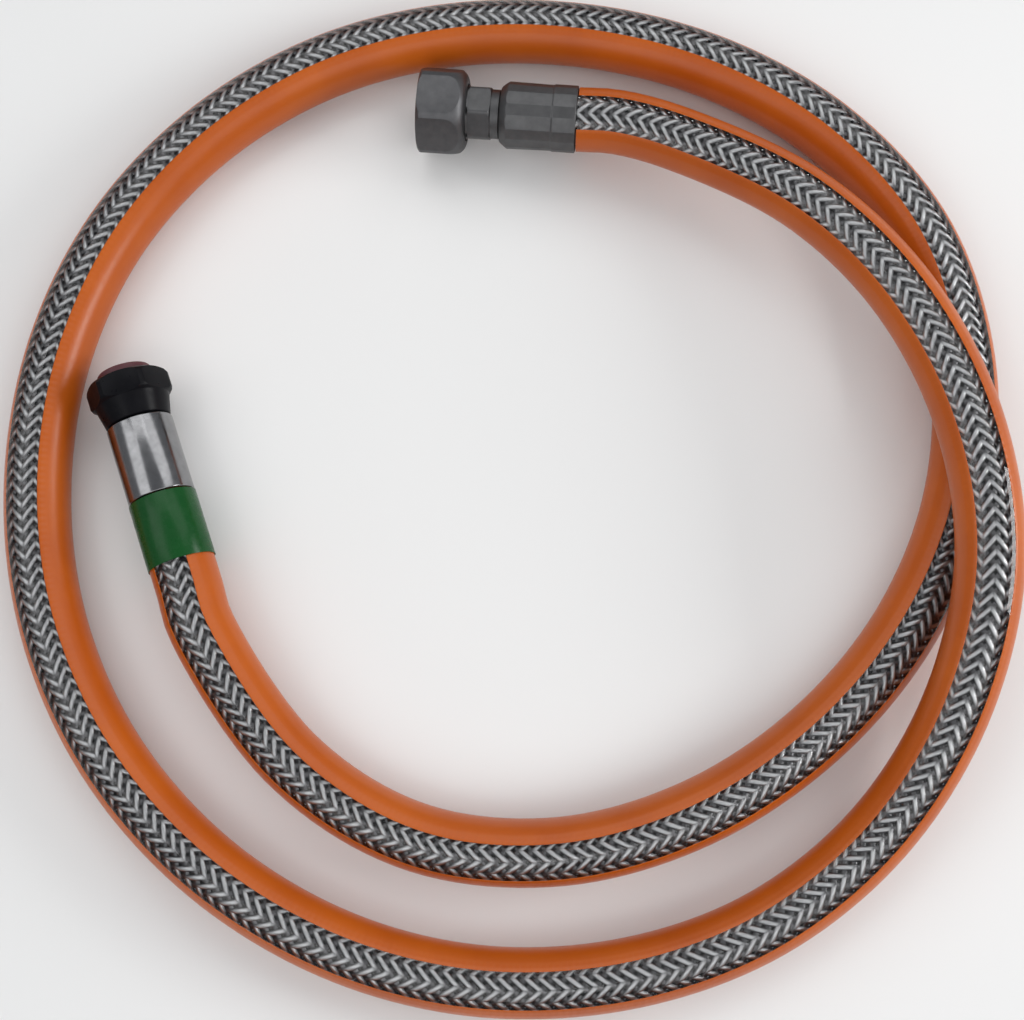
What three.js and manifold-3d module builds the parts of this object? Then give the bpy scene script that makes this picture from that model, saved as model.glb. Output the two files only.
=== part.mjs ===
// Flexible gas hose, laid down in one and a half turns, with a union nut at each end.
// Millimetres, +Z up. The hose lies on z = 0 and the origin is under the middle of its outline.
import * as THREE from 'three';
import { mergeVertices } from 'three/addons/utils/BufferGeometryUtils.js';
import Module from 'manifold-3d';

const wasm = await Module();
wasm.setup();

// Hose wall, from the outside in
const hoseRadius = 9.5;
const sheathWall = 1.6;
const braidWall = 0.9;
const tubeWall = 1.35;
const layerGap = 0.3;
const stripHalfAngle = 33;
const stripSides = 3;
const sheathSides = 9;
const tubeSides = 8;
const stationPitch = 26;

// Lay of the hose
const crossingGap = 0.5;
const straightLeadA = 12;
const straightLeadB = 27.6;

// Sleeves, seen from the mouth that the hose goes into
const sleeveA = {
  length: 23.2,
  radius: 9.95,
  acrossJaws: 19.5,
  jaws: 8,
  phase: 15,
  coneLength: 2,
  coneRadius: 8.3,
};
const sleeveB = { length: 23.6, radius: 9.7, edge: 0.5 };
const sleeveCollar = 2.8;
const mouthEdge = 0.4;

// Tailpieces
const boreRadius = 3;
const spigotRadius = 4.05;
const spigotStart = 1.5;
const barbCount = 3;
const barbDepth = 0.4;
const shoulderLength = 1.2;
const neckA = {
  length: 10.2,
  seat: 6.3,
  groove: 7.3,
  hexLength: 7,
  acrossFlats: 15,
  cornerRadius: 8.35,
  radius: 8,
  phase: 22,
};
const neckB = { length: 0.3, seat: 5.7, radius: 6.4 };
const headThickness = 2.4;

// Swivel nuts, with the thread left as a plain bore at its crest
const nutA = {
  length: 14.4,
  acrossFlats: 24,
  cornerRadius: 13.2,
  threadRadius: 9.3,
  phase: 32,
  chamfer: 1.4,
};
const nutB = {
  length: 13.5,
  acrossFlats: 22,
  cornerRadius: 12.2,
  threadRadius: 7.5,
  phase: 30,
  chamfer: 0.8,
};
const rearWall = 3;
const threadChamfer = 0.7;
const domeLength = 5.6;
const domeRearRadius = 9.2;
const coneB = { length: 6.6, startRadius: 10.9, rearRadius: 9.5 };
const headPlayA = 0.3;
const headPlayB = 0.7;

// Sealing rings, plug and marker band
const sealA = { thickness: 2, hole: 5.5 };
const sealB = { thickness: 1.5, hole: 4.5 };
const plug = { flangeRadius: 7.9, flangeThickness: 2.7, dome: 0.5, sealGap: 1.1, wall: 1.3 };
const band = { length: 20, wall: 0.22, gap: 0.12 };

const clearance = 0.3;
const cutOver = 1;
const turnedSides = 36;

// Where each end's sleeve mouth lies and where its nut points to
const endA = { x: 22.4, y: 110.2, z: 15.5, heading: 174.8, pitch: -2.6 };
const endB = { x: -98.8, y: -6.5, z: 13, heading: 109, pitch: 0 };

// The lay between the two ends: x, y, and the rise over the floor as a share of one crossing
const lay = [
  [52.9, 103.2, 0.38],
  [88.8, 82.4, 0.62],
  [115.1, 51.8, 0.88],
  [131.4, 13.4, 1.01],
  [135.3, -27.1, 0.97],
  [126.2, -66.8, 0.56],
  [104.9, -101.3, 0.13],
  [72.8, -126.3, 0],
  [34.2, -139.4, 0],
  [-7.5, -141.2, 0],
  [-46.8, -131.3, 0],
  [-82.7, -110.2, 0],
  [-111.1, -79.9, 0],
  [-129.2, -43.2, 0],
  [-136.2, -3, 0],
  [-132.1, 38.9, 0],
  [-116.6, 76.6, 0],
  [-90.2, 108, 0],
  [-55.2, 130.5, 0],
  [-16, 141.2, 0],
  [26, 140.9, 0],
  [65.8, 130, 0],
  [100.7, 108.2, 0],
  [126.2, 76.2, 0],
  [136.6, 37, 0],
  [133.1, -4.4, 0],
  [116.9, -41.8, 0],
  [90.2, -72.9, 0],
  [55.1, -95.8, 0],
  [15.6, -106.6, 0],
  [-24.8, -102.4, 0],
  [-59.3, -81.4, 0.02],
];

// Brings the middle of the outline over the origin and the lowest point to the floor
const centring = [-0.39, -0.13, 0.06];

// How far the clear strip is turned from straight up towards the outside of the turn, along the hose
const stripTurn = [
  [0, -10],
  [0.1, -11],
  [0.18, -1],
  [0.26, 9],
  [0.33, 11],
  [0.42, 17],
  [0.6, 18],
  [0.72, 13],
  [0.82, 14],
  [0.89, 20],
  [1, 12],
];

const paint = (color, roughness, metalness, more = {}) => (
  new THREE.MeshStandardMaterial({ color, roughness, metalness, ...more })
);

const finishes = {
  orange: paint(0xc4602a, 0.38, 0),
  clear: paint(0xe8ecec, 0.12, 0, { transparent: true, opacity: 0.35 }),
  wire: paint(0x9a9c9d, 0.35, 1),
  rubber: paint(0x1d1c1b, 0.75, 0),
  steel: paint(0x77787a, 0.42, 1),
  brightSteel: paint(0x9b9b9c, 0.25, 1),
  seal: paint(0x2c2f2e, 0.8, 0),
  black: paint(0x17171b, 0.4, 0.3),
  red: paint(0x6b323c, 0.5, 0),
  green: paint(0x1f6b33, 0.3, 0),
};

function named(name, geometry, finish) {
  const mesh = new THREE.Mesh(geometry, finishes[finish]);
  mesh.name = name;
  return mesh;
}

// Booleans

function toSolid(geometry) {
  const bare = geometry.clone();
  bare.deleteAttribute('normal');
  bare.deleteAttribute('uv');
  const merged = mergeVertices(bare, 1e-4);
  const vertProperties = new Float32Array(merged.attributes.position.array);
  const triVerts = new Uint32Array(merged.index.array);
  return new wasm.Manifold(new wasm.Mesh({ numProp: 3, vertProperties, triVerts }));
}

function toGeometry(solid) {
  const mesh = solid.getMesh();
  const geometry = new THREE.BufferGeometry();
  geometry.setAttribute('position', new THREE.BufferAttribute(new Float32Array(mesh.vertProperties), 3));
  geometry.setIndex(new THREE.BufferAttribute(new Uint32Array(mesh.triVerts), 1));
  geometry.computeVertexNormals();
  return geometry;
}

// Turned shapes: a profile of [along, radius] points, spun about the end's own +X

function turned(profile, sides = turnedSides) {
  const points = [...profile, profile[0]].map(([along, radius]) => new THREE.Vector2(radius, along));
  return new THREE.LatheGeometry(points, sides).rotateZ(-Math.PI / 2);
}

function regularOutline(acrossFlats, sides, phase) {
  const corner = acrossFlats / 2 / Math.cos(Math.PI / sides);
  return Array.from({ length: sides }, (_, i) => {
    const angle = THREE.MathUtils.degToRad(phase) + (i * 2 * Math.PI) / sides;
    return new THREE.Vector2(corner * Math.cos(angle), corner * Math.sin(angle));
  });
}

// A bar of regular section along +X; phase turns a corner away from straight up
function bar(acrossFlats, sides, phase, start, end) {
  const shape = new THREE.Shape(regularOutline(acrossFlats, sides, phase));
  const geometry = new THREE.ExtrudeGeometry(shape, { depth: end - start, bevelEnabled: false });
  return geometry.rotateY(-Math.PI / 2).translate(end, 0, 0);
}

// What lies outside a bar of regular section, as a cutter that mills its flats
function flatsCutter(acrossFlats, sides, phase, start, end, reach) {
  const shape = new THREE.Shape(regularOutline(reach * 2, 24, 0));
  shape.holes.push(new THREE.Path(regularOutline(acrossFlats, sides, phase)));
  const geometry = new THREE.ExtrudeGeometry(shape, { depth: end - start, bevelEnabled: false });
  return geometry.rotateY(-Math.PI / 2).translate(end, 0, 0);
}

// Ends: a group whose +X runs out of the sleeve's mouth plane towards the open side of the nut

function endFrame({ x, y, z, heading, pitch }) {
  const turn = THREE.MathUtils.degToRad(heading);
  const tilt = THREE.MathUtils.degToRad(pitch);
  const out = new THREE.Vector3(
    Math.cos(turn) * Math.cos(tilt),
    Math.sin(turn) * Math.cos(tilt),
    Math.sin(tilt),
  );
  const side = new THREE.Vector3(0, 0, 1).cross(out).normalize();
  const up = new THREE.Vector3().crossVectors(out, side);
  const group = new THREE.Group();
  group.position.set(x, y, z);
  group.quaternion.setFromRotationMatrix(new THREE.Matrix4().makeBasis(out, side, up));
  const at = (along) => new THREE.Vector3(x, y, z).addScaledVector(out, along);
  return { group, at };
}

// Radii of the hose's layers, at the corners of their sections
const sheathInner = hoseRadius - sheathWall;
const braidOuter = sheathInner - layerGap;
const braidInner = braidOuter - braidWall;
const widestSide = Math.max((2 * stripHalfAngle) / stripSides, (360 - 2 * stripHalfAngle) / sheathSides);
const tubeOuter = braidInner * Math.cos(THREE.MathUtils.degToRad(widestSide / 2)) - layerGap;
const tubeInner = tubeOuter - tubeWall;

// Lengths inside the sleeves
const braidEndA = sleeveA.length - sleeveCollar - shoulderLength - 2 * clearance;
const braidEndB = sleeveB.length - sleeveCollar - shoulderLength - 2 * clearance;
const sleeveBore = braidOuter + clearance;

// Where the nuts and what they hold lie along each end
const rearA = sleeveA.length + neckA.length;
const frontA = rearA + nutA.length;
const headA = rearA + rearWall + headPlayA;
const sealStartA = headA + headThickness + clearance;
const rearB = sleeveB.length + neckB.length;
const frontB = rearB + nutB.length;
const headB = rearB + rearWall + headPlayB;
const sealStartB = headB + headThickness + clearance;

// The hose's route and its stations

function routeCurve(frameA, frameB) {
  const rise = 2 * hoseRadius + crossingGap;
  const points = [
    frameA.at(braidEndA),
    frameA.at(0),
    frameA.at(-straightLeadA),
    ...lay.map(([x, y, share]) => new THREE.Vector3(x, y, hoseRadius + share * rise)),
    frameB.at(-straightLeadB - straightLeadA),
    frameB.at(-straightLeadB),
    frameB.at(0),
    frameB.at(braidEndB),
  ];
  const curve = new THREE.CatmullRomCurve3(points, false, 'centripetal');
  curve.arcLengthDivisions = 4000;
  return curve;
}

function turnAt(share) {
  const next = stripTurn.findIndex(([at]) => at >= share);
  if (next <= 0) {
    return stripTurn[0][1];
  }
  const [from, a] = stripTurn[next - 1];
  const [to, b] = stripTurn[next];
  return THREE.MathUtils.lerp(a, b, (share - from) / (to - from));
}

function station(curve, along, length) {
  const share = THREE.MathUtils.clamp(along / length, 0, 1);
  const point = curve.getPointAt(share);
  const tangent = curve.getTangentAt(share).normalize();
  const left = new THREE.Vector3(0, 0, 1).cross(tangent).normalize();
  const up = new THREE.Vector3().crossVectors(tangent, left);
  const turn = THREE.MathUtils.degToRad(turnAt(share));
  const normal = up.multiplyScalar(Math.cos(turn)).addScaledVector(left, Math.sin(turn));
  const binormal = new THREE.Vector3().crossVectors(tangent, normal);
  return { point, tangent, normal, binormal };
}

// Stations at the wires' two ends, at the sheath's two ends and evenly between those
function hoseStations(curve) {
  const length = curve.getLength();
  const from = braidEndA + clearance;
  const to = length - braidEndB - clearance;
  const count = Math.round((to - from) / stationPitch);
  const even = Array.from({ length: count + 1 }, (_, i) => from + ((to - from) * i) / count);
  return [0, ...even, length].map((along) => station(curve, along, length));
}

class Stretch extends THREE.Curve {
  constructor(stations) {
    super();
    this.stations = stations;
  }

  getSpacedPoints() {
    return this.stations.map(({ point }) => point);
  }

  computeFrenetFrames() {
    return {
      tangents: this.stations.map(({ tangent }) => tangent),
      normals: this.stations.map(({ normal }) => normal),
      binormals: this.stations.map(({ binormal }) => binormal),
    };
  }
}

function alongHose(shape, stations) {
  const extrudePath = new Stretch(stations);
  return new THREE.ExtrudeGeometry(shape, { steps: stations.length - 1, bevelEnabled: false, extrudePath });
}

// Hose sections: the strip is centred on the section's +X

function spread(from, to, sides) {
  return Array.from({ length: sides + 1 }, (_, i) => from + ((to - from) * i) / sides);
}

function ring(radius, angles) {
  return angles.map((angle) => {
    const turn = THREE.MathUtils.degToRad(angle);
    return new THREE.Vector2(radius * Math.cos(turn), radius * Math.sin(turn));
  });
}

const stripAngles = spread(-stripHalfAngle, stripHalfAngle, stripSides);
const sheathAngles = spread(stripHalfAngle, 360 - stripHalfAngle, sheathSides);
const fullAngles = [...stripAngles, ...sheathAngles.slice(1, -1)];
const seamAngle = THREE.MathUtils.radToDeg(clearance / 2 / sheathInner);

function arcShape(angles) {
  const trimmed = [angles[0] + seamAngle, ...angles.slice(1, -1), angles[angles.length - 1] - seamAngle];
  return new THREE.Shape([...ring(hoseRadius, trimmed), ...ring(sheathInner, trimmed).reverse()]);
}

function tubeShape(outer, inner, angles) {
  const shape = new THREE.Shape(ring(outer, angles));
  shape.holes.push(new THREE.Path(ring(inner, angles)));
  return shape;
}

function hoseLayers(stations) {
  const sheathed = stations.slice(1, -1);
  const evenAngles = spread(0, 360, tubeSides).slice(0, -1);
  return [
    named('outer_sheath', alongHose(arcShape(sheathAngles), sheathed), 'orange'),
    named('clear_strip', alongHose(arcShape(stripAngles), sheathed), 'clear'),
    named('wire_braid', alongHose(tubeShape(braidOuter, braidInner, fullAngles), stations), 'wire'),
    named('inner_tube', alongHose(tubeShape(tubeOuter, tubeInner, evenAngles), stations), 'rubber'),
  ];
}

// Crimped sleeves

function sleeveInside(length, collarHole) {
  return [
    [length, collarHole],
    [length - sleeveCollar, collarHole],
    [length - sleeveCollar, sleeveBore],
    [0, sleeveBore],
  ];
}

function crimpSleeveA() {
  const { length, radius, acrossJaws, jaws, phase, coneLength, coneRadius } = sleeveA;
  const blank = turned([
    [0, radius - mouthEdge],
    [mouthEdge, radius],
    [length - coneLength, radius],
    [length, coneRadius],
    ...sleeveInside(length, neckA.seat + clearance),
  ]);
  const pressed = bar(acrossJaws, jaws, phase, -cutOver, length + cutOver);
  return toGeometry(toSolid(blank).intersect(toSolid(pressed)));
}

function crimpSleeveB() {
  const { length, radius, edge } = sleeveB;
  return turned([
    [0, radius - mouthEdge],
    [mouthEdge, radius],
    [length - edge, radius],
    [length, radius - edge],
    ...sleeveInside(length, neckB.seat + clearance),
  ]);
}

// Tailpieces: a barbed spigot in the hose, a shoulder and groove under the sleeve, a neck and a flat head

function barbs(end) {
  const pitch = (end - spigotStart) / barbCount;
  return Array.from({ length: barbCount }, (_, i) => [
    [spigotStart + i * pitch, spigotRadius - barbDepth],
    [spigotStart + (i + 0.8) * pitch, spigotRadius],
  ]).flat();
}

function tailpieceA() {
  const shoulder = braidEndA + clearance;
  const collar = shoulder + shoulderLength;
  const groove = sleeveA.length + clearance;
  const neck = rearA - clearance - neckA.hexLength;
  const headFront = headA + headThickness;
  const blank = turned([
    [spigotStart, boreRadius],
    ...barbs(shoulder),
    [shoulder, spigotRadius],
    [shoulder, sleeveBore - clearance],
    [collar, sleeveBore - clearance],
    [collar, neckA.seat],
    [groove, neckA.seat],
    [groove, neckA.groove],
    [neck, neckA.groove],
    [neck, neckA.cornerRadius],
    [neck + neckA.hexLength, neckA.cornerRadius],
    [neck + neckA.hexLength, neckA.radius],
    [headA, neckA.radius],
    [headA, nutA.threadRadius - clearance],
    [headFront, nutA.threadRadius - clearance],
    [headFront, sealA.hole],
    [headFront - headThickness, boreRadius],
  ]);
  const { acrossFlats, hexLength, cornerRadius, phase } = neckA;
  const flats = flatsCutter(acrossFlats, 6, phase, neck, neck + hexLength, cornerRadius + cutOver);
  return toGeometry(toSolid(blank).subtract(toSolid(flats)));
}

function tailpieceB() {
  const shoulder = braidEndB + clearance;
  const collar = shoulder + shoulderLength;
  const headFront = headB + headThickness;
  return turned([
    [spigotStart, boreRadius],
    ...barbs(shoulder),
    [shoulder, spigotRadius],
    [shoulder, sleeveBore - clearance],
    [collar, sleeveBore - clearance],
    [collar, neckB.seat],
    [rearB, neckB.seat],
    [rearB, neckB.radius],
    [headB, neckB.radius],
    [headB, nutB.threadRadius - clearance],
    [headFront, nutB.threadRadius - clearance],
    [headFront, sealB.hole],
    [headFront - headThickness, boreRadius],
  ]);
}

// Swivel nuts

function nutInside(nut, rear, front, hole) {
  return [
    [front, nut.threadRadius + threadChamfer],
    [front - threadChamfer, nut.threadRadius],
    [rear + rearWall, nut.threadRadius],
    [rear + rearWall, hole],
    [rear, hole],
  ];
}

function milled(blank, nut, rear, front) {
  const hexagon = bar(nut.acrossFlats, 6, nut.phase, rear - cutOver, front + cutOver);
  return toGeometry(toSolid(blank).intersect(toSolid(hexagon)));
}

function dome(rear, length, rearRadius, frontRadius, steps = 5) {
  return Array.from({ length: steps + 1 }, (_, i) => {
    const turn = (i / steps) * (Math.PI / 2);
    const along = rear + length * (1 - Math.cos(turn));
    return [along, rearRadius + (frontRadius - rearRadius) * Math.sin(turn)];
  });
}

function swivelNutA() {
  const blank = turned([
    ...dome(rearA, domeLength, domeRearRadius, nutA.cornerRadius),
    [frontA - nutA.chamfer, nutA.cornerRadius],
    [frontA, nutA.cornerRadius - nutA.chamfer],
    ...nutInside(nutA, rearA, frontA, neckA.cornerRadius + clearance),
  ]);
  return milled(blank, nutA, rearA, frontA);
}

function swivelNutB() {
  const shoulder = rearB + coneB.length;
  const blank = turned([
    [rearB, coneB.rearRadius],
    [shoulder, coneB.startRadius],
    [shoulder, nutB.cornerRadius - nutB.chamfer],
    [shoulder + nutB.chamfer, nutB.cornerRadius],
    [frontB - nutB.chamfer, nutB.cornerRadius],
    [frontB, nutB.cornerRadius - nutB.chamfer],
    ...nutInside(nutB, rearB, frontB, neckB.radius + clearance),
  ]);
  return milled(blank, nutB, rearB, frontB);
}

// Sealing rings, plug and band

function sealRing(seal, start, radius) {
  return turned([
    [start, seal.hole],
    [start, radius],
    [start + seal.thickness, radius],
    [start + seal.thickness, seal.hole],
  ]);
}

function threadPlug() {
  const seat = frontB + clearance;
  const inner = nutB.threadRadius - clearance;
  const tip = sealStartB + sealB.thickness + plug.sealGap;
  const { flangeRadius, flangeThickness, dome: crown, wall } = plug;
  return turned([
    [tip, inner - wall],
    [tip, inner - barbDepth],
    [tip + barbDepth, inner],
    [seat, inner],
    [seat, flangeRadius],
    [seat + flangeThickness - crown, flangeRadius],
    [seat + flangeThickness, flangeRadius - 2 * crown],
    [seat + flangeThickness + crown, flangeRadius / 2],
    [seat + flangeThickness + crown, 0],
    [seat - clearance, 0],
    [seat - clearance, inner - wall],
  ]);
}

function markerBand() {
  const inner = (hoseRadius + band.gap) / Math.cos(Math.PI / turnedSides);
  return turned([
    [-clearance, inner],
    [-clearance, inner + band.wall],
    [-clearance - band.length, inner + band.wall],
    [-clearance - band.length, inner],
  ].reverse());
}

// Assembly

const frameA = endFrame(endA);
const frameB = endFrame(endB);

frameA.group.add(
  named('tailpiece_a', tailpieceA(), 'steel'),
  named('crimp_sleeve_a', crimpSleeveA(), 'steel'),
  named('swivel_nut_a', swivelNutA(), 'steel'),
  named('seal_ring_a', sealRing(sealA, sealStartA, nutA.threadRadius - clearance), 'seal'),
);

frameB.group.add(
  named('tailpiece_b', tailpieceB(), 'steel'),
  named('crimp_sleeve_b', crimpSleeveB(), 'brightSteel'),
  named('swivel_nut_b', swivelNutB(), 'black'),
  named('seal_ring_b', sealRing(sealB, sealStartB, nutB.threadRadius - clearance), 'seal'),
  named('thread_plug', threadPlug(), 'red'),
  named('marker_band', markerBand(), 'green'),
);

const gasHose = new THREE.Group();
gasHose.position.set(...centring);
gasHose.add(frameA.group, frameB.group, ...hoseLayers(hoseStations(routeCurve(frameA, frameB))));

export default gasHose;
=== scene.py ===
import math

import bmesh
import bpy
import numpy as np
from mathutils import Matrix, Vector


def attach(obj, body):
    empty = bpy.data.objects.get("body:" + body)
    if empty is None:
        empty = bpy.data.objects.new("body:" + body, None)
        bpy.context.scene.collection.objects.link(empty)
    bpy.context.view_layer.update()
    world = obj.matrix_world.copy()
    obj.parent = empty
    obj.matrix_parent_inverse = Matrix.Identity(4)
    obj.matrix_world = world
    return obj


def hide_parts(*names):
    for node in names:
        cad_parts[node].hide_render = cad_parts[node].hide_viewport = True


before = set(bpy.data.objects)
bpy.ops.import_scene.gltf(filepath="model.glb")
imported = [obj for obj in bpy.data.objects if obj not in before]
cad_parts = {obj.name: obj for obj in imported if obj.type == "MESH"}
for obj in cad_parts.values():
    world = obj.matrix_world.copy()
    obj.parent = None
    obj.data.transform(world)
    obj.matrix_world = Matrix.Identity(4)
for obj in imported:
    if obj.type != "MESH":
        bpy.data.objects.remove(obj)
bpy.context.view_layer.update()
mm = 0.001


# Camera, at the photograph's angle

cameraView = {
    "target": (0.00231, -0.00753, 0.00006),
    "distance": 0.450,
    "elevation": 79.0,
    "lens": 53.0,
    "sensor": 36.0,
}


def aimedRotation(place, target):
    return (Vector(target) - Vector(place)).to_track_quat("-Z", "Y")


def addCamera():
    tilt = math.radians(cameraView["elevation"])
    back = Vector((0, -math.cos(tilt), math.sin(tilt)))
    target = Vector(cameraView["target"])
    data = bpy.data.cameras.new("camera")
    data.lens = cameraView["lens"]
    data.sensor_width = cameraView["sensor"]
    data.clip_start = 0.01
    camera = bpy.data.objects.new("camera", data)
    camera.location = target + back * cameraView["distance"]
    camera.rotation_mode = "QUATERNION"
    camera.rotation_quaternion = aimedRotation(camera.location, target)
    bpy.context.scene.collection.objects.link(camera)
    bpy.context.scene.camera = camera


addCamera()
print("camera set")


# The hose's line, through the same points as the solids

routePoints = [
    (0.00351, 0.11175, 0.01472),
    (0.02201, 0.11007, 0.01556),
    (0.03395, 0.10898, 0.01610),
    (0.05251, 0.10307, 0.01697),
    (0.08841, 0.08227, 0.02165),
    (0.11471, 0.05167, 0.02672),
    (0.13101, 0.01327, 0.02925),
    (0.13491, -0.02723, 0.02847),
    (0.12581, -0.06693, 0.02048),
    (0.10451, -0.10143, 0.01209),
    (0.07241, -0.12643, 0.00956),
    (0.03381, -0.13953, 0.00956),
    (-0.00789, -0.14133, 0.00956),
    (-0.04719, -0.13143, 0.00956),
    (-0.08309, -0.11033, 0.00956),
    (-0.11149, -0.08003, 0.00956),
    (-0.12959, -0.04333, 0.00956),
    (-0.13659, -0.00313, 0.00956),
    (-0.13249, 0.03877, 0.00956),
    (-0.11699, 0.07647, 0.00956),
    (-0.09059, 0.10787, 0.00956),
    (-0.05559, 0.13037, 0.00956),
    (-0.01639, 0.14107, 0.00956),
    (0.02561, 0.14077, 0.00956),
    (0.06541, 0.12987, 0.00956),
    (0.10031, 0.10807, 0.00956),
    (0.12581, 0.07607, 0.00956),
    (0.13621, 0.03687, 0.00956),
    (0.13271, -0.00453, 0.00956),
    (0.11651, -0.04193, 0.00956),
    (0.08981, -0.07303, 0.00956),
    (0.05471, -0.09593, 0.00956),
    (0.01521, -0.10673, 0.00956),
    (-0.02519, -0.10253, 0.00956),
    (-0.05969, -0.08153, 0.00995),
    (-0.08630, -0.04407, 0.01306),
    (-0.09020, -0.03273, 0.01306),
    (-0.09919, -0.00663, 0.01306),
    (-0.10538, 0.01134, 0.01306),
]

# Where the clear strip's middle is turned to: share of the line, degrees from up towards the outside
stripTurn = [
    (0, -10), (0.1, -11), (0.18, -1), (0.26, 9), (0.33, 11), (0.42, 17),
    (0.6, 18), (0.72, 13), (0.82, 14), (0.89, 20), (1, 12),
]


def curveSpan(before, start, end, after, steps):
    chords = [np.linalg.norm(b - a) ** 0.5 for a, b in ((before, start), (start, end), (end, after))]
    first, middle, last = chords
    leave = (start - before) / first - (end - before) / (first + middle) + (end - start) / middle
    arrive = (end - start) / middle - (after - start) / (middle + last) + (after - end) / last
    leave, arrive = leave * middle, arrive * middle
    t = np.linspace(0, 1, steps, endpoint=False)[:, None]
    cubic = 2 * start - 2 * end + leave + arrive
    square = -3 * start + 3 * end - 2 * leave - arrive
    return start + leave * t + square * t**2 + cubic * t**3


def hoseLine(stepsPerSpan=160):
    points = np.array(routePoints)
    padded = np.vstack([2 * points[0] - points[1], points, 2 * points[-1] - points[-2]])
    spans = [curveSpan(*padded[i : i + 4], stepsPerSpan) for i in range(len(points) - 1)]
    line = np.vstack(spans + [points[-1:]])
    along = np.concatenate([[0], np.cumsum(np.linalg.norm(np.diff(line, axis=0), axis=1))])
    return line, along


linePoints, lineAlong = hoseLine()
lineLength = lineAlong[-1]


def hoseFrames(along):
    along = np.asarray(along, float)
    point = np.stack([np.interp(along, lineAlong, linePoints[:, i]) for i in range(3)], 1)
    reach = 0.2 * mm
    ahead = np.stack([np.interp(along + reach, lineAlong, linePoints[:, i]) for i in range(3)], 1)
    behind = np.stack([np.interp(along - reach, lineAlong, linePoints[:, i]) for i in range(3)], 1)
    tangent = ahead - behind
    tangent /= np.linalg.norm(tangent, axis=1, keepdims=True)
    left = np.cross([0.0, 0.0, 1.0], tangent)
    left /= np.linalg.norm(left, axis=1, keepdims=True)
    up = np.cross(tangent, left)
    shares, turns = zip(*stripTurn)
    turn = np.radians(np.interp(along / lineLength, shares, turns))[:, None]
    normal = up * np.cos(turn) + left * np.sin(turn)
    return point, normal, np.cross(tangent, normal)


def onHose(along, angle, radius):
    point, normal, across = hoseFrames(along)
    angle, radius = np.asarray(angle)[:, None], np.asarray(radius)[:, None]
    return point + radius * (normal * np.cos(angle) + across * np.sin(angle))


# Pieces and meshes


def pieceFrom(bm, name, body, material, sharpAngle=35):
    for face in bm.faces:
        face.smooth = True
    for edge in bm.edges:
        edge.smooth = len(edge.link_faces) != 2 or edge.calc_face_angle(0) < math.radians(sharpAngle)
    mesh = bpy.data.meshes.new(name)
    bm.to_mesh(mesh)
    bm.free()
    mesh.materials.append(material)
    piece = bpy.data.objects.new(name, mesh)
    bpy.context.scene.collection.objects.link(piece)
    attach(piece, body)
    return piece


def sheetOfFaces(columns, rows, toPlace, toPattern):
    bm = bmesh.new()
    uvLayer = bm.loops.layers.uv.new("hose")
    bmesh.ops.create_grid(bm, x_segments=columns, y_segments=rows, size=0.5)
    coords = np.array([v.co[:2] for v in bm.verts]) + 0.5
    column = np.rint(coords[:, 0] * columns).astype(int)
    row = np.rint(coords[:, 1] * rows).astype(int)
    places, patterns = toPlace(column, row), toPattern(column, row)
    for face in bm.faces:
        for loop in face.loops:
            loop[uvLayer].uv = patterns[loop.vert.index]
    for vert, place in zip(bm.verts, places):
        vert.co = place
    return bm


# Sections run along the hose: a closed outline of (angle, radius) corners, the same at each station


def sweptHose(outline, stations):
    outline, stations = np.array(outline), np.array(stations)
    count = len(outline)

    def toPlace(column, row):
        corner = outline[column % count]
        return onHose(stations[row], corner[:, 0], corner[:, 1])

    def toPattern(column, row):
        corner = outline[column % count]
        angle = corner[:, 0]
        return np.stack([angle * hoseWall["radius"], stations[row]], 1)

    bm = sheetOfFaces(count, len(stations) - 1, toPlace, toPattern)
    bmesh.ops.remove_doubles(bm, verts=bm.verts, dist=1e-6)
    rims = [e for e in bm.edges if e.is_boundary]
    bmesh.ops.holes_fill(bm, edges=rims, sides=0)
    bmesh.ops.recalc_face_normals(bm, faces=bm.faces)
    return bm


def arcOf(start, end, radius, steps):
    return [(a, radius) for a in np.radians(np.linspace(start, end, steps + 1))]


hoseWall = {
    "radius": 9.5 * mm,
    "inner": 7.9 * mm,
    "windowHalfAngle": 33.0,
    "windowUndercut": 42.0,
    "stripInner": 6.55 * mm,
    "lip": 0.8,
    "lipRound": 0.12 * mm,
    "stripGap": 0.15,
    "undercutGap": 0.3,
    "station": 4 * mm,
    "skiveA": 18.9 * mm,
    "skiveB": 19.3 * mm,
}

braidLayer = {
    "strands": 14,
    "pitch": 3.75 * mm,
    "radius": 7.15 * mm,
    "wave": 0.22 * mm,
    "strandWidth": 1.65 * mm,
    "crown": 0.3 * mm,
    "underside": 0.12 * mm,
    "halfAngle": 46.0,
    "steps": 14,
    "wiresAround": 9,
    "coreOuter": 7.5 * mm,
    "coreInner": 6.9 * mm,
    "coreOverlap": 2.0,
    "coreStation": 8 * mm,
    "endGap": 2 * mm,
}

gasTube = {
    "outer": 6.5 * mm,
    "inner": 4.8 * mm,
    "seam": 0.5,
    "station": 6 * mm,
    "endGap": 1 * mm,
}


def spreadStations(start, end, step):
    return np.linspace(start, end, round((end - start) / step) + 1)


# Looks: each finish wanders between two tones; the braid wire's two are instead a painted highlight and a
# painted shade

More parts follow.
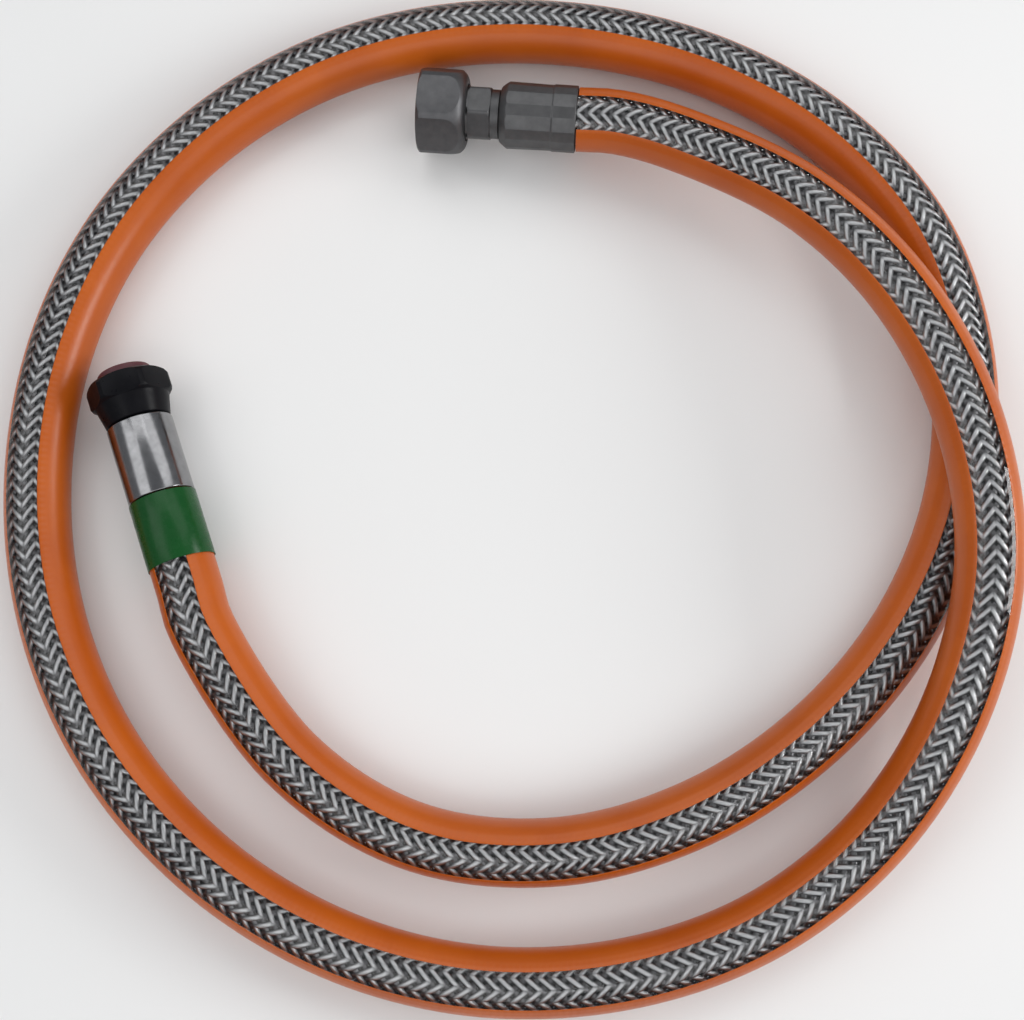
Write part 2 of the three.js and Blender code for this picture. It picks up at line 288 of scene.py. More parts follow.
palette = {
    "orange": ((0.515, 0.106, 0.007), (0.44, 0.082, 0.005)),
    # wire: the first tone is a painted highlight for strand crests, the second a painted shade for their
    # flanks and dips
    "wire": ((0.43, 0.435, 0.44), (0.095, 0.095, 0.098)),
    "steel": ((0.13, 0.13, 0.132), (0.108, 0.108, 0.11)),
    "nutSteel": ((0.125, 0.125, 0.129), (0.104, 0.104, 0.108)),
    "bright": ((0.3, 0.3, 0.307), (0.24, 0.24, 0.246)),
    "black": ((0.003, 0.003, 0.004), (0.006, 0.006, 0.008)),
    "red": ((0.085, 0.018, 0.025), (0.115, 0.026, 0.034)),
    "green": ((0.005, 0.055, 0.012), (0.008, 0.08, 0.017)),
    "floor": ((0.82, 0.82, 0.81), (0.85, 0.85, 0.84)),
}


class Finish:
    def __init__(self, name, metallic=0.0, **sockets):
        self.material = bpy.data.materials.new(name)
        self.material.use_nodes = True
        self.tree = self.material.node_tree
        self.shader = self.tree.nodes["Principled BSDF"]
        self.shader.inputs["Metallic"].default_value = metallic
        for socket, value in sockets.items():
            self.shader.inputs[socket].default_value = value

    def node(self, kind, **inputs):
        node = self.tree.nodes.new("ShaderNode" + kind)
        for socket, value in inputs.items():
            self.feed(node.inputs[socket.replace("_", " ")], value)
        return node

    def feed(self, socket, value):
        if isinstance(value, bpy.types.NodeSocket):
            self.tree.links.new(value, socket)
        else:
            socket.default_value = value

    def math(self, operation, first, second=0.0):
        node = self.node("Math")
        node.operation = operation
        self.feed(node.inputs[0], first)
        self.feed(node.inputs[1], second)
        return node.outputs[0]

    def coordinates(self, source="Object"):
        return self.node("TexCoord").outputs[source]

    def noise(self, scale, detail):
        inputs = {"Vector": self.coordinates(), "Scale": scale, "Detail": detail, "Roughness": 0.55}
        return self.node("TexNoise", **inputs).outputs["Fac"]

    def span(self, value, low, high, fromLow=0.0, fromHigh=1.0):
        limits = {"From_Min": fromLow, "From_Max": fromHigh, "To_Min": low, "To_Max": high}
        return self.node("MapRange", Value=value, **limits).outputs[0]

    def blend(self, amount, first, second):
        node = self.node("Mix")
        node.data_type = "RGBA"
        self.feed(node.inputs["Factor"], amount)
        colours = [s for s in node.inputs if s.name in ("A", "B") and s.type == "RGBA"]
        for socket, colour in zip(colours, (first, second)):
            self.feed(socket, (*colour, 1))
        return [s for s in node.outputs if s.type == "RGBA"][0]

    def colour(self, amount, tones):
        self.feed(self.shader.inputs["Base Color"], self.blend(amount, *tones))

    def roughness(self, value, low, high, fromLow=0.3, fromHigh=0.7):
        self.feed(self.shader.inputs["Roughness"], self.span(value, low, high, fromLow, fromHigh))

    def bump(self, height, strength, distance):
        node = self.node("Bump", Strength=strength, Distance=distance, Height=height)
        self.feed(self.shader.inputs["Normal"], node.outputs[0])


def orangeVinyl():
    look = Finish("orangeVinyl", **{"Specular IOR Level": 0.38})
    look.colour(look.span(look.noise(38, 4), 0, 1, 0.3, 0.7), palette["orange"])
    look.roughness(look.noise(900, 3), 0.28, 0.38)
    points = look.node("SeparateXYZ", Vector=look.coordinates(source="UV"))
    turn, along = points.outputs[0], points.outputs[1]
    rows = look.math("MULTIPLY", along, 2 * math.pi / braidLayer["pitch"])
    columns = look.math("MULTIPLY", turn, braidLayer["strands"] / hoseWall["radius"])
    first = look.math("SINE", look.math("ADD", rows, columns))
    second = look.math("SINE", look.math("SUBTRACT", rows, columns))
    weave = look.math("MULTIPLY", first, second)
    fromMiddle = look.math("ABSOLUTE", look.math("SUBTRACT", turn, hoseWall["radius"] * math.pi))
    halfSheath = hoseWall["radius"] * (math.pi - math.radians(hoseWall["windowHalfAngle"]))
    nearLip = look.span(fromMiddle, 0.0, 1.0, halfSheath - 4 * mm, halfSheath - 1 * mm)
    grain = look.math("MULTIPLY", look.noise(2600, 2), 0.25)
    look.bump(look.math("ADD", look.math("MULTIPLY", weave, nearLip), grain), 0.35, 0.12 * mm)
    return look.material


def clearVinyl():
    clear = {"Transmission Weight": 1.0, "IOR": 1.4, "Base Color": (0.98, 0.985, 0.985, 1)}
    look = Finish("clearVinyl", **clear)
    look.roughness(look.noise(90, 3), 0.0, 0.05, 0.4, 0.7)
    lampsThrough = look.node("BsdfTransparent", Color=(0.97, 0.98, 0.98, 1))
    mixed = look.node("MixShader")
    look.feed(mixed.inputs[0], look.node("LightPath").outputs["Is Shadow Ray"])
    look.feed(mixed.inputs[1], look.shader.outputs[0])
    look.feed(mixed.inputs[2], lampsThrough.outputs[0])
    look.feed(look.tree.nodes["Material Output"].inputs["Surface"], mixed.outputs[0])
    return look.material


# A strand's UV runs across and along it: a third of the way across is its crest, which gets a painted
# highlight wherever the strand lies on top; its flanks and the stretches where it dips under get painted
# shade
def braidWire():
    look = Finish("braidWire", 1.0)
    pattern = look.node("SeparateXYZ", Vector=look.coordinates(source="UV"))
    across, along = pattern.outputs[0], pattern.outputs[1]
    fromCrest = look.math("ABSOLUTE", look.math("SUBTRACT", across, 1 / 3))
    patchy = look.span(look.noise(500, 2), -0.06, 0.06)
    # painted shade on the strand's flanks, away from its crest
    paintedFlankShade = look.span(look.math("ADD", fromCrest, patchy), 0, 1, 0.08, 0.26)
    waves = braidLayer["strands"] * math.radians(braidLayer["halfAngle"])
    lift = look.math("SINE", look.math("MULTIPLY", look.math("SUBTRACT", along, 0.5), waves))
    # painted shade where the strand dips under the strands it crosses
    paintedDipShade = look.span(lift, 1, 0, -0.3, 0.45)
    # the crest keeps the painted highlight tone; flanks and dips take the painted shade tone
    look.colour(look.math("MAXIMUM", paintedFlankShade, paintedDipShade), palette["wire"])
    look.roughness(look.noise(700, 2), 0.28, 0.4)
    wires = look.math("SINE", look.math("MULTIPLY", across, 2 * math.pi * braidLayer["wiresAround"]))
    look.bump(wires, 0.2, 0.03 * mm)
    return look.material


def darkRubber(name, shade):
    look = Finish(name)
    look.colour(look.noise(300, 4), ((shade * 0.7,) * 3, (shade * 1.5,) * 3))
    look.roughness(look.noise(900, 3), 0.5, 0.75)
    look.bump(look.noise(1800, 3), 0.2, 0.08 * mm)
    return look.material


def plainSteel(name, tones, low, high):
    look = Finish(name, 1.0)
    look.colour(look.span(look.noise(420, 5), 0, 1, 0.3, 0.7), tones)
    look.roughness(look.noise(160, 5), low, high)
    look.bump(look.noise(2400, 4), 0.15, 0.05 * mm)
    return look.material


def blackNutPlating():
    look = Finish("blackPlating", **{"Specular IOR Level": 0.1})
    look.colour(look.noise(240, 4), palette["black"])
    look.roughness(look.noise(420, 4), 0.26, 0.42)
    look.bump(look.noise(1500, 3), 0.12, 0.05 * mm)
    return look.material


def redPlastic():
    look = Finish("plugRed")
    look.colour(look.noise(200, 3), palette["red"])
    look.roughness(look.noise(700, 3), 0.4, 0.58)
    look.bump(look.noise(1700, 2), 0.15, 0.06 * mm)
    return look.material


def greenFilm():
    look = Finish("greenFilm", **{"Specular IOR Level": 0.22})
    look.colour(look.noise(120, 3), palette["green"])
    look.roughness(look.noise(500, 3), 0.2, 0.34)
    look.bump(look.noise(260, 3), 0.3, 0.12 * mm)
    return look.material


finishes = {
    "orange": orangeVinyl(),
    "clear": clearVinyl(),
    "wire": braidWire(),
    "rubber": darkRubber("tubeRubber", 0.012),
    "steel": plainSteel("sleeveSteel", palette["steel"], 0.42, 0.54),
    "nutSteel": plainSteel("nutSteel", palette["nutSteel"], 0.4, 0.52),
    "bright": plainSteel("brightSteel", palette["bright"], 0.15, 0.24),
    "seal": darkRubber("sealRubber", 0.02),
    "black": blackNutPlating(),
    "red": redPlastic(),
    "green": greenFilm(),
}
print("finishes made")


# Hose layers


def sheathStations():
    return spreadStations(hoseWall["skiveA"], lineLength - hoseWall["skiveB"], hoseWall["station"])


def makeSheath():
    half, under = hoseWall["windowHalfAngle"], hoseWall["windowUndercut"]
    lip = hoseWall["lip"]
    outer = arcOf(half + lip, 360 - half - lip, hoseWall["radius"], 56)
    inner = arcOf(360 - under, under, hoseWall["inner"], 24)
    lipIn = hoseWall["radius"] - hoseWall["lipRound"]
    outline = outer + [(math.radians(360 - half), lipIn)] + inner + [(math.radians(half), lipIn)]
    bm = sweptHose(outline, sheathStations())
    piece = pieceFrom(bm, "orangeSheath", "hose", finishes["orange"])
    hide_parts("outer_sheath")
    return piece


def makeStrip():
    half = hoseWall["windowHalfAngle"] - hoseWall["stripGap"]
    under = hoseWall["windowUndercut"] - hoseWall["undercutGap"]
    inner = hoseWall["inner"]
    outline = arcOf(-half, half, hoseWall["radius"], 20) + [(math.radians(under), inner)]
    outline += arcOf(under, -under, hoseWall["stripInner"], 14) + [(math.radians(-under), inner)]
    bm = sweptHose(outline, sheathStations())
    piece = pieceFrom(bm, "clearStrip", "hose", finishes["clear"])
    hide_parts("clear_strip")
    return piece


# One strand lies across the strip, a crowned tape that dips under the strands it crosses
def strandSection():
    width, crown = braidLayer["strandWidth"], braidLayer["crown"]
    shoulders = [(-0.5, 0), (-0.28, 0.78), (0, 1), (0.28, 0.78), (0.5, 0)]
    return np.array([(a * width, b * crown) for a, b in shoulders] + [(0, -braidLayer["underside"])])


def makeStrand(direction):
    section = strandSection()
    around, steps = len(section), braidLayer["steps"]
    lead = braidLayer["strands"] * braidLayer["pitch"]
    reach = math.radians(braidLayer["halfAngle"])
    lean = math.atan2(2 * math.pi * braidLayer["radius"], lead)

    bm = bmesh.new()
    bm.loops.layers.uv.new("hose")
    bmesh.ops.create_grid(bm, x_segments=around, y_segments=steps, size=0.5, calc_uvs=True)
    coords = np.array([v.co[:2] for v in bm.verts]) + 0.5
    column = np.rint(coords[:, 0] * around).astype(int) % around
    share = coords[:, 1] * 2 - 1
    across, lift = section[column, 0], section[column, 1]
    angle = direction * share * reach + math.cos(lean) * across / braidLayer["radius"]
    offset = share * lead * reach / (2 * math.pi) - direction * math.sin(lean) * across
    wave = np.clip(1.5 * np.sin(braidLayer["strands"] / 2 * angle), -1, 1)
    radius = braidLayer["radius"] + direction * braidLayer["wave"] * wave + lift
    for vert, x, y, z in zip(bm.verts, angle, offset, radius):
        vert.co = (x, y, z)
    bmesh.ops.remove_doubles(bm, verts=bm.verts, dist=1e-7)
    bmesh.ops.holes_fill(bm, edges=[e for e in bm.edges if e.is_boundary], sides=0)
    bmesh.ops.recalc_face_normals(bm, faces=bm.faces)
    strand = bpy.data.meshes.new("strand")
    bm.to_mesh(strand)
    bm.free()
    return strand


def weaveBraid(name, direction):
    strand = makeStrand(direction)
    flat = np.empty(len(strand.vertices) * 3)
    strand.vertices.foreach_get("co", flat)
    flat = flat.reshape(-1, 3)
    pitch = braidLayer["pitch"]
    starts = [(2 + i) * pitch for i in range(int(lineLength / pitch) - 3)]
    bm = bmesh.new()
    for start in starts:
        bm.from_mesh(strand)
    whole = np.concatenate([flat + (0, start, 0) for start in starts])
    places = onHose(whole[:, 1], whole[:, 0], whole[:, 2])
    for vert, place in zip(bm.verts, places):
        vert.co = place
    bpy.data.meshes.remove(strand)
    piece = pieceFrom(bm, name, "hose", finishes["wire"], 70)
    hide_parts("wire_braid")
    return piece


def makeBraidCore():
    half, gap = braidLayer["halfAngle"] - braidLayer["coreOverlap"], braidLayer["endGap"]
    outline = arcOf(half, 360 - half, braidLayer["coreOuter"], 36)
    outline += arcOf(360 - half, half, braidLayer["coreInner"], 24)
    stations = spreadStations(gap, lineLength - gap, braidLayer["coreStation"])
    piece = pieceFrom(sweptHose(outline, stations), "coveredBraid", "hose", finishes["wire"])
    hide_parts("wire_braid")
    return piece


def makeGasTube():
    seam, gap = gasTube["seam"], gasTube["endGap"]
    outline = arcOf(180 + seam, 540 - seam, gasTube["outer"], 40)
    outline += arcOf(540 - seam, 180 + seam, gasTube["inner"], 24)
    stations = spreadStations(gap, lineLength - gap, gasTube["station"])
    piece = pieceFrom(sweptHose(outline, stations), "gasTube", "hose", finishes["rubber"])
    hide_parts("inner_tube")
    return piece


sheath = makeSheath()
strip = makeStrip()
braidPieces = [weaveBraid("braidPlus", 1), weaveBraid("braidMinus", -1), makeBraidCore()]
tube = makeGasTube()
print("hose made, %.4f m along its line" % lineLength)

# Ends: +X runs out of the sleeve's mouth to the open side of the nut, +Z is up


def endMatrix(place, heading, pitch):
    turn, tilt = math.radians(heading), math.radians(pitch)
    out = Vector((math.cos(turn) * math.cos(tilt), math.sin(turn) * math.cos(tilt), math.sin(tilt)))
    side = Vector((0, 0, 1)).cross(out).normalized()
    matrix = Matrix((out, side, out.cross(side))).transposed().to_4x4()
    matrix.translation = Vector(place)
    return matrix


endA = endMatrix((0.02201, 0.11007, 0.01556), 174.8, -2.6)
endB = endMatrix((-0.09919, -0.00663, 0.01306), 109.0, 0.0)


# A closed profile of (along, radius) in millimetres, spun about the end's own line
def turned(profile, steps=96):
    bm = bmesh.new()
    verts = [bm.verts.new((along * mm, 0, radius * mm)) for along, radius in profile]
    edges = [bm.edges.new(pair) for pair in zip(verts, verts[1:] + verts[:1])]
    circle = {"cent": (0, 0, 0), "axis": (1, 0, 0), "angle": 2 * math.pi}
    bmesh.ops.spin(bm, geom=verts + edges, steps=steps, use_merge=True, **circle)
    bmesh.ops.remove_doubles(bm, verts=bm.verts, dist=1e-6)
    bmesh.ops.recalc_face_normals(bm, faces=bm.faces)
    return bm


# Flats are cut square to the line, at angles from straight up
def cutFlats(bm, acrossFlats, angles):
    for angle in angles:
        turn = math.radians(angle)
        outwards = Vector((0, math.sin(turn), math.cos(turn)))
        cut = bmesh.ops.bisect_plane(
            bm,
            geom=bm.verts[:] + bm.edges[:] + bm.faces[:],
            dist=1e-7,
            plane_co=outwards * acrossFlats / 2 * mm,
            plane_no=outwards,
            clear_outer=True,
        )
        edges = [e for e in cut["geom_cut"] if isinstance(e, bmesh.types.BMEdge)]
        bmesh.ops.edgeloop_fill(bm, edges=edges)
    bmesh.ops.remove_doubles(bm, verts=bm.verts, dist=8e-6)
    bmesh.ops.recalc_face_normals(bm, faces=bm.faces)


def softenEdges(bm, width, above=18, segments=2):
    sharp = [e for e in bm.edges if len(e.link_faces) == 2 and e.calc_face_angle(0) > math.radians(above)]
    bmesh.ops.bevel(
        bm,
        geom=sharp,
        offset=width * mm,
        offset_type="OFFSET",
        affect="EDGES",
        segments=segments,
        profile=0.5,
        material=-1,
        clamp_overlap=True,
    )
    bmesh.ops.dissolve_degenerate(bm, dist=1e-6, edges=bm.edges)


def placedPiece(bm, matrix, name, body, finish, node, sharpAngle=28):
    bm.transform(matrix)
    piece = pieceFrom(bm, name, body, finishes[finish], sharpAngle)
    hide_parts(node)
    return piece


def hexagon(phase):
    return [phase + 30 + 60 * i for i in range(6)]


def quarterRound(start, length, rearRadius, frontRadius, steps):
    turns = [i / steps * math.pi / 2 for i in range(steps + 1)]
    rise = frontRadius - rearRadius
    return [(start + length * (1 - math.cos(t)), rearRadius + rise * math.sin(t)) for t in turns]


# Thread: one ridge run round inside the bore, let into its wall and fading at both ends
def threadRidge(start, end, pitch, crest, root, steps=48):
    turns = (end - start) / pitch
    bm = bmesh.new()
    corners = [(0, root + 0.15), (0.44 * pitch, crest), (0.56 * pitch, crest), (pitch * 0.98, root + 0.15)]
    verts = [bm.verts.new(((start + along) * mm, 0, radius * mm)) for along, radius in corners]
    face = bm.faces.new(verts)
    total = round(steps * turns)
    spun = bmesh.ops.spin(
        bm,
        geom=[face],
        cent=(0, 0, 0),
        axis=(1, 0, 0),
        dvec=((end - start) * mm / total, 0, 0),
        angle=2 * math.pi * turns,
        steps=total,
    )
    fade = 0.6 * pitch * mm
    low, high = start * mm, (end + pitch) * mm
    for vert in bm.verts:
        radius = math.hypot(vert.co.y, vert.co.z)
        near = min(1, (vert.co.x - low) / fade, (high - vert.co.x) / fade)
        if radius < root * mm and near < 1:
            wanted = (root + 0.1) * mm + (radius - (root + 0.1) * mm) * max(near, 0)
            vert.co.y, vert.co.z = vert.co.y * wanted / radius, vert.co.z * wanted / radius
    bmesh.ops.recalc_face_normals(bm, faces=bm.faces)
    return bm


sleeveAShape = {
    "length": 23.2,
    "radius": 10.1,
    "wideFlats": 19.44,
    "narrowFlats": 19.6,
    "jaws": 8,
    "jawTurn": 37.5,
    "coneStart": 21.2,
    "coneRadius": 8.3,
    "grooveAt": 7.4,
    "grooveHalf": 0.35,
    "grooveFloorHalf": 0.15,
    "grooveDepth": 0.12,
    "bore": 7.9,
    "collar": 2.8,
    "collarBore": 6.6,
    "soften": 0.25,
}


def makeSleeveA():
    shape = sleeveAShape
    length, radius = shape["length"], shape["radius"]
    bm = turned(
        [
            (0, shape["bore"]),
            (0, radius - 0.6),
            (0.35, radius),
            (shape["coneStart"] - 0.6, radius),
            (shape["coneStart"] + 0.5, radius - 0.75),
            (length - 0.3, shape["coneRadius"] + 0.1),
            (length, shape["coneRadius"] - 0.3),
            (length, shape["collarBore"]),
            (length - shape["collar"], shape["collarBore"]),
            (length - shape["collar"], shape["bore"]),
        ]
    )
    step = 360 / shape["jaws"]
    cutFlats(bm, shape["wideFlats"], [shape["jawTurn"] + step * i for i in range(shape["jaws"])])
    between = shape["jawTurn"] + step / 2
    cutFlats(bm, shape["narrowFlats"], [between + step * i for i in range(shape["jaws"])])
    pressGroove(bm, shape)
    softenEdges(bm, shape["soften"], 14, 3)
    placedPiece(bm, endA, "crimpSleeveA", "hose", "steel", "crimp_sleeve_a")


def pressGroove(bm, shape):
    half, floorHalf, floor = shape["grooveHalf"], shape["grooveFloorHalf"], shape["grooveDepth"]
    for offset, depth in ((-half, 0), (-floorHalf, floor), (floorHalf, floor), (half, 0)):
        cut = bmesh.ops.bisect_plane(
            bm,
            geom=bm.verts[:] + bm.edges[:] + bm.faces[:],
            dist=1e-7,
            plane_co=((shape["grooveAt"] + offset) * mm, 0, 0),
            plane_no=(1, 0, 0),
        )
        for vert in [v for v in cut["geom_cut"] if isinstance(v, bmesh.types.BMVert)]:
            distance = math.hypot(vert.co.y, vert.co.z)
            if distance > (shape["bore"] + 1) * mm:
                vert.co.y *= 1 - depth * mm / distance
                vert.co.z *= 1 - depth * mm / distance


stemShape = {"tip": 1.5, "bore": 3.0, "root": 3.65, "crest": 4.05, "barbs": 3, "slope": 0.8}


def barbedStem(end):
    tip, barbs = stemShape["tip"], stemShape["barbs"]
    pitch = (end - tip) / barbs
    points = [(tip, stemShape["bore"])]
    for i in range(barbs):
        points.append((tip + i * pitch, stemShape["root"]))
        points.append((tip + (i + stemShape["slope"]) * pitch, stemShape["crest"]))
    return points + [(end, stemShape["crest"])]


tailpieceAShape = {
    "stem": 18.9,
    "shoulder": 20.1,
    "shoulderRadius": 7.6,
    "seatRadius": 6.3,
    "ring": 23.5,
    "ringRadius": 7.3,
    "neck": 26.2,
    "neckCorner": 8.5,
    "neckFlat": 7.5,
    "neckPhase": 22,
    "neckEnd": 33.1,
    "neckRadius": 8.0,
    "head": 36.7,
    "face": 39.1,
    "headRadius": 9.0,
    "mouth": 5.5,
    "headChamfer": 0.3,
}


def makeTailpieceA():
    shape = tailpieceAShape
    stem, shoulder, ring, neck = shape["stem"], shape["shoulder"], shape["ring"], shape["neck"]
    neckEnd, corner, chamfer = shape["neckEnd"], shape["neckCorner"], shape["headChamfer"]
    head, face, headRadius = shape["head"], shape["face"], shape["headRadius"]
    bm = turned(
        [
            *barbedStem(stem),
            (stem, shape["shoulderRadius"]),
            (shoulder, shape["shoulderRadius"]),
            (shoulder, shape["seatRadius"]),
            (ring - 0.1, shape["seatRadius"]),
            (ring, shape["ringRadius"]),
            (neck - 0.3, shape["ringRadius"]),
            (neck, corner - 0.4),
            (neck + 0.5, corner),
            (neckEnd - 0.5, corner),
            (neckEnd, shape["neckRadius"]),
            (head, shape["neckRadius"]),
            (head, headRadius - chamfer),
            (head + chamfer, headRadius),
            (face - chamfer, headRadius),
            (face, headRadius - chamfer),
            (face, shape["mouth"]),
            (head, stemShape["bore"]),
        ]
    )
    softenEdges(bm, 0.1)
    for angle in hexagon(shape["neckPhase"]):
        pressNeckFlat(bm, angle, neck - 0.7, neckEnd - 0.05, shape["neckFlat"])
    placedPiece(bm, endA, "tailpieceA", "hose", "steel", "tailpiece_a")


# A flat on a short length of a turned piece: what stands past it is pressed back onto it
def pressNeckFlat(bm, angle, start, end, distance):
    turn = math.radians(angle)
    outwards = Vector((0, math.sin(turn), math.cos(turn)))
    for vert in bm.verts:
        if start * mm < vert.co.x < end * mm:
            past = vert.co.dot(outwards) - distance * mm
            if past > 0:
                vert.co -= outwards * past


nutAShape = {
    "rear": 33.4,
    "front": 47.8,
    "acrossFlats": 24.0,
    "cornerRadius": 13.35,
    "phase": 32,
    "domeLength": 5.6,
    "domeRearRadius": 9.2,
    "neckBore": 8.65,
    "rearWall": 3.0,
    "threadRoot": 10.4,
    "threadCrest": 9.3,
    "threadPitch": 1.814,
    "threadStart": 7.0,
    "threadStop": 2.6,
    "soften": 0.2,
}


def makeNutA():
    shape = nutAShape
    rear, front, root = shape["rear"], shape["front"], shape["threadRoot"]
    corner = shape["cornerRadius"]
    bm = turned(
        [
            *quarterRound(rear, shape["domeLength"], shape["domeRearRadius"], corner, 14),
            (front - 1.2, corner),
            (front - 0.6, corner - 0.4),
            (front, corner - 1.2),
            (front, root + 0.6),
            (front - 0.6, root),
            (rear + shape["rearWall"], root),
            (rear + shape["rearWall"], shape["neckBore"]),
            (rear, shape["neckBore"]),
        ],
        steps=120,
    )
    cutFlats(bm, shape["acrossFlats"], hexagon(shape["phase"]))
    softenEdges(bm, shape["soften"])
    placedPiece(bm, endA, "unionNutA", "nut_a", "nutSteel", "swivel_nut_a")
    start, stop = rear + shape["threadStart"], front - shape["threadStop"]
    ridge = threadRidge(start, stop, shape["threadPitch"], shape["threadCrest"], root)
    placedPiece(ridge, endA, "unionNutAThread", "nut_a", "nutSteel", "swivel_nut_a")


nutBShape = {
    "rear": 23.9,
    "front": 37.4,
    "acrossFlats": 22.0,
    "cornerRadius": 12.3,
    "phase": 30,
    "coneLength": 6.6,
    "coneRear": 9.5,
    "coneFront": 10.9,
    "neckBore": 6.7,
    "rearWall": 3.0,
    "threadRoot": 8.3,
    "threadCrest": 7.5,
    "threadPitch": 1.337,
    "threadStart": 6.6,
    "threadStop": 2.0,
    "soften": 0.18,
}


def makeNutB():
    shape = nutBShape
    rear, front, root = shape["rear"], shape["front"], shape["threadRoot"]
    corner, shoulder = shape["cornerRadius"], shape["rear"] + shape["coneLength"]
    bm = turned(
        [
            (rear, shape["coneRear"] - 0.3),
            (rear + 0.25, shape["coneRear"]),
            (shoulder - 0.2, shape["coneFront"]),
            (shoulder, shape["coneFront"] + 0.25),
            (shoulder + 0.5, corner - 0.35),
            (shoulder + 1.2, corner),
            (front - 1.4, corner),
            (front - 0.6, corner - 0.45),
            (front, corner - 1.3),
            (front, root + 0.5),
            (front - 0.5, root),
            (rear + shape["rearWall"], root),
            (rear + shape["rearWall"], shape["neckBore"]),
            (rear, shape["neckBore"]),
        ],
        steps=120,
    )
    cutFlats(bm, shape["acrossFlats"], hexagon(shape["phase"]))
    softenEdges(bm, shape["soften"])
    nut = placedPiece(bm, endB, "unionNutB", "nut_b", "black", "swivel_nut_b")
    start, stop = rear + shape["threadStart"], front - shape["threadStop"]
    ridge = threadRidge(start, stop, shape["threadPitch"], shape["threadCrest"], root)
    placedPiece(ridge, endB, "unionNutBThread", "nut_b", "black", "swivel_nut_b")
    return nut


sleeveBShape = {"length": 23.6, "radius": 9.7, "bore": 7.9, "collar": 2.8, "collarBore": 6.0, "edge": 0.5}


def makeSleeveB():
    shape = sleeveBShape
    length, radius, edge = shape["length"], shape["radius"], shape["edge"]
    bm = turned(
        [
            (0, shape["bore"]),
            (0, radius - 0.35),
            (0.35, radius),
            (length - edge, radius),
            (length, radius - edge),
            (length, shape["collarBore"]),
            (length - shape["collar"], shape["collarBore"]),
            (length - shape["collar"], shape["bore"]),
        ],
        steps=128,
    )
    softenEdges(bm, 0.1)
    return placedPiece(bm, endB, "crimpSleeveB", "hose", "bright", "crimp_sleeve_b")


tailpieceBShape = {
    "stem": 19.3,
    "shoulder": 20.5,
    "shoulderRadius": 7.6,
    "seatRadius": 5.7,
    "neck": 23.9,
    "neckRadius": 6.4,
    "head": 27.6,
    "face": 30.0,
    "headRadius": 7.2,
    "mouth": 4.5,
}


def makeTailpieceB():
    shape = tailpieceBShape
    stem, shoulder, neck = shape["stem"], shape["shoulder"], shape["neck"]
    bm = turned(
        [
            *barbedStem(stem),
            (stem, shape["shoulderRadius"]),
            (shoulder, shape["shoulderRadius"]),
            (shoulder, shape["seatRadius"]),
            (neck, shape["seatRadius"]),
            (neck + 0.1, shape["neckRadius"]),
            (shape["head"], shape["neckRadius"]),
            (shape["head"], shape["headRadius"]),
            (shape["face"], shape["headRadius"]),
            (shape["face"], shape["mouth"]),
            (shape["face"] - 1.5, stemShape["bore"]),
        ]
    )
    softenEdges(bm, 0.08)
    return placedPiece(bm, endB, "tailpieceB", "hose", "steel", "tailpiece_b")


sealAShape = {"start": 39.4, "thickness": 2.0, "hole": 5.5, "radius": 9.0}
sealBShape = {"start": 30.3, "thickness": 1.5, "hole": 4.5, "radius": 7.2}


def makeSeal(shape, matrix, name, node):
    start, end = shape["start"], shape["start"] + shape["thickness"]
    hole, radius = shape["hole"], shape["radius"]
    bm = turned([(start, hole), (start, radius), (end, radius), (end, hole)])
    softenEdges(bm, 0.25, segments=3)
    return placedPiece(bm, matrix, name, "hose", "seal", node)


plugShape = {"tip": 32.9, "seat": 37.7, "spigot": 7.2, "wall": 1.3, "flange": 7.9, "rim": 2.7, "dome": 0.5}


def makePlug():
    shape = plugShape
    seat, flange, rim = shape["seat"], shape["flange"], shape["seat"] + shape["rim"]
    inner = shape["spigot"] - shape["wall"]
    bm = turned(
        [
            (shape["tip"], inner),
            (shape["tip"], shape["spigot"] - 0.3),
            (shape["tip"] + 0.3, shape["spigot"]),
            (seat, shape["spigot"]),
            (seat, flange - 0.15),
            (seat + 0.15, flange),
            (rim - 0.6, flange),
            (rim - 0.2, flange - 0.35),
            (rim + 0.1, flange - 1.2),
            (rim + 0.35, flange / 2),
            (rim + shape["dome"], 0),
            (seat - 0.3, 0),
            (seat - 0.3, inner),
        ]
    )
    return placedPiece(bm, endB, "threadPlug", "plug", "red", "thread_plug", 40)


bandShape = {"from": -0.3, "to": -20.3, "inner": 9.66, "outer": 9.86}


def makeMarkerBand():
    near, far, inner, outer = bandShape.values()
    bm = turned([(near, inner), (near, outer), (far, outer), (far, inner)], steps=128)
    softenEdges(bm, 0.05)
    return placedPiece(bm, endB, "markerBand", "hose", "green", "marker_band")


makeSleeveA()
makeTailpieceA()
makeNutA()
makeSeal(sealAShape, endA, "sealA", "seal_ring_a")
farEnd = [
    makeSleeveB(),
    makeTailpieceB(),
    makeNutB(),
    makeSeal(sealBShape, endB, "sealB", "seal_ring_b"),
    makePlug(),
    makeMarkerBand(),
]
print("both ends made")


# Floor, lamps and surroundings

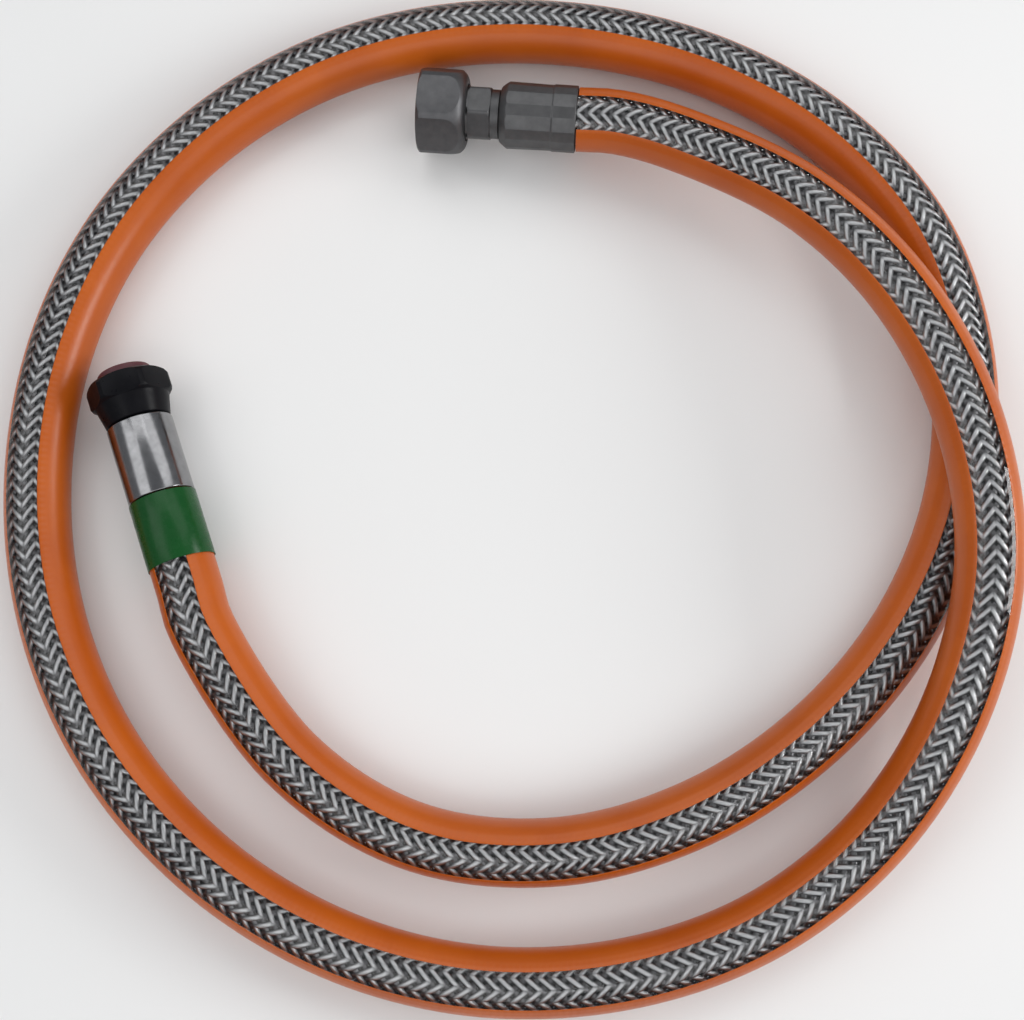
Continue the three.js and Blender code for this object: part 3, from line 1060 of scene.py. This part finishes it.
studio = {
    "floorSize": 3.0,
    "floorDrop": 0.2 * mm,
    "world": (0.62, 0.64, 0.68),
    "worldStrength": 0.4,
    "ring": {
        "bearings": (50, 110, 180, 250, 310),
        "reach": 0.8,
        "height": 0.9,
        "box": (0.8, 0.75),
        "watts": 2.6,
    },
    "key": {"bearings": (0,), "reach": 1.1, "height": 0.45, "box": (0.6, 0.35), "watts": 6.5},
}


def addFloor():
    bm = bmesh.new()
    bmesh.ops.create_grid(bm, x_segments=1, y_segments=1, size=studio["floorSize"])
    bmesh.ops.translate(bm, verts=bm.verts, vec=(0, 0, -studio["floorDrop"]))
    mesh = bpy.data.meshes.new("floor")
    bm.to_mesh(mesh)
    bm.free()
    look = Finish("paleFloor", **{"Roughness": 0.9})
    look.colour(look.noise(6, 2), palette["floor"])
    mesh.materials.append(look.material)
    floor = bpy.data.objects.new("floor", mesh)
    bpy.context.scene.collection.objects.link(floor)


def addLamp(name, place, size, watts):
    data = bpy.data.lights.new(name, "AREA")
    data.shape = "RECTANGLE"
    data.size, data.size_y = size
    data.energy = watts
    lamp = bpy.data.objects.new(name, data)
    lamp.location = place
    lamp.rotation_mode = "QUATERNION"
    lamp.rotation_quaternion = aimedRotation(place, (0, 0, 0))
    bpy.context.scene.collection.objects.link(lamp)


def addWorld():
    world = bpy.data.worlds.new("room")
    world.use_nodes = True
    back = world.node_tree.nodes["Background"]
    back.inputs["Color"].default_value = (*studio["world"], 1)
    back.inputs["Strength"].default_value = studio["worldStrength"]
    bpy.context.scene.world = world


addFloor()
for lamps in (studio["ring"], studio["key"]):
    for bearing in lamps["bearings"]:
        turn = math.radians(bearing)
        place = (lamps["reach"] * math.cos(turn), lamps["reach"] * math.sin(turn), lamps["height"])
        addLamp("softbox%d" % bearing, place, lamps["box"], lamps["watts"])
addWorld()
bpy.context.scene.view_settings.view_transform = "Standard"
print("studio set")


# Points on the hose's line every 3 mm, from the mouth of sleeve A to its far fitting

sheathAlong = np.arange(hoseWall["skiveA"], lineLength - hoseWall["skiveB"], 3 * mm)
sheathLine = [tuple(place) for place in onHose(sheathAlong, np.zeros(1), np.zeros(1))]
